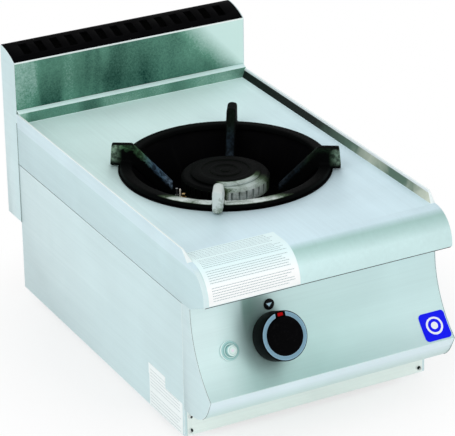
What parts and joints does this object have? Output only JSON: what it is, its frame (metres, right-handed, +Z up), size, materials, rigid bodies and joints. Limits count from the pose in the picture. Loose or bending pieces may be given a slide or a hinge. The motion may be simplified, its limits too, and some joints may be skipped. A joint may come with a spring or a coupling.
{
  "type": "wok range",
  "caption": "Countertop gas wok range: stainless casing with rear flue, round well with four-armed cast pan support, burner, control knob and spark button.",
  "frame": {"origin": "on the floor under the feet, at the middle of the box's width and depth", "axes": "+X to the right as the cook stands, +Y to the back, towards the flue, +Z up"},
  "size_m": [0.4002, 0.6928, 0.402],
  "materials": {
    "casing_steel": "satin",
    "inner_steel": "matte",
    "black_enamel": "glossy",
    "black_paint": "matte",
    "cast_iron": "matte",
    "crown_brass": "satin",
    "tap_brass": "satin",
    "pipe_steel": "satin",
    "feed_copper": "satin",
    "lead_rubber": "matte",
    "foot_rubber": "matte",
    "zinc_screws": "satin",
    "knob_black": "satin",
    "knob_ring": "satin",
    "knob_red": "glossy",
    "index_black": "glossy",
    "index_white": "glossy",
    "button_white": "glossy",
    "button_pink": "glossy",
    "black_plastic": "satin",
    "white_ceramic": "satin",
    "label_paper": "satin",
    "label_blue": "glossy"
  },
  "bodies": {
    "cabinet": {"side_panel_left": "casing_steel", "side_panel_right": "casing_steel", "base_strip": "casing_steel", "control_panel": "casing_steel", "panel_cheek_left": "casing_steel", "panel_cheek_right": "casing_steel", "worktop": "casing_steel", "flue_front": "casing_steel", "flue_back": "casing_steel", "flue_cheek_left": "casing_steel", "flue_cheek_right": "casing_steel", "back_panel": "casing_steel", "base_tray": "inner_steel", "flue_floor": "inner_steel", "burner_beam": "inner_steel", "pilot_bracket": "inner_steel", "spark_nut": "inner_steel", "air_shutter": "inner_steel", "well_bowl": "black_enamel", "flue_cap": "black_paint", "burner_body": "cast_iron", "mixing_tube": "cast_iron", "gas_tap": "tap_brass", "jet_holder": "tap_brass", "pilot_burner": "tap_brass", "gas_inlet": "tap_brass", "supply_pipe": "pipe_steel", "flame_probe": "pipe_steel", "feed_pipe": "feed_copper", "pilot_pipe": "feed_copper", "probe_line": "feed_copper", "spark_lead": "lead_rubber", "feet": "foot_rubber", "foot_bolts": "zinc_screws", "base_strip_screws": "zinc_screws", "index_disc": "index_black", "index_arrow": "index_white", "spark_generator": "black_plastic", "spark_pin": "white_ceramic", "nose_label": "label_paper", "rating_plate": "label_paper", "badge": "label_blue"},
    "wok_support": {"wok_support": "cast_iron"},
    "burner_crown": {"burner_crown": "crown_brass"},
    "burner_cap": {"burner_cap": "cast_iron"},
    "tap_plug": {"tap_plug": "tap_brass"},
    "knob": {"tap_spindle": "pipe_steel", "knob": "knob_black", "knob_ring": "knob_ring", "knob_mark": "knob_red"},
    "spark_button": {"spark_button": "button_white", "button_core": "button_pink"}
  },
  "joints": [
    {"name": "support_lift", "type": "slide", "parent": "cabinet", "child": "wok_support", "axis": [0, 0, 1], "range_m": [0, 0.12]},
    {"name": "crown_lift", "type": "slide", "parent": "cabinet", "child": "burner_crown", "axis": [0, 0, 1], "range_m": [0, 0.04]},
    {"name": "cap_lift", "type": "slide", "parent": "burner_crown", "child": "burner_cap", "axis": [0, 0, 1], "range_m": [0, 0.04]},
    {"name": "tap_turn", "type": "hinge", "parent": "cabinet", "child": "tap_plug", "pos_m": [-0.079, -0.29383, 0.154], "axis": [0, -0.9022, 0.4313], "range_deg": [0, 180]},
    {"name": "knob_push", "type": "slide", "parent": "tap_plug", "child": "knob", "axis": [0, 0.9022, -0.4313], "range_m": [0, 0.004], "stiffness_N_per_m": 600, "springref_m": -0.005},
    {"name": "spark_push", "type": "slide", "parent": "cabinet", "child": "spark_button", "axis": [0, 0.8899, -0.4562], "range_m": [0, 0.0045], "stiffness_N_per_m": 600, "springref_m": -0.005}
  ]
}
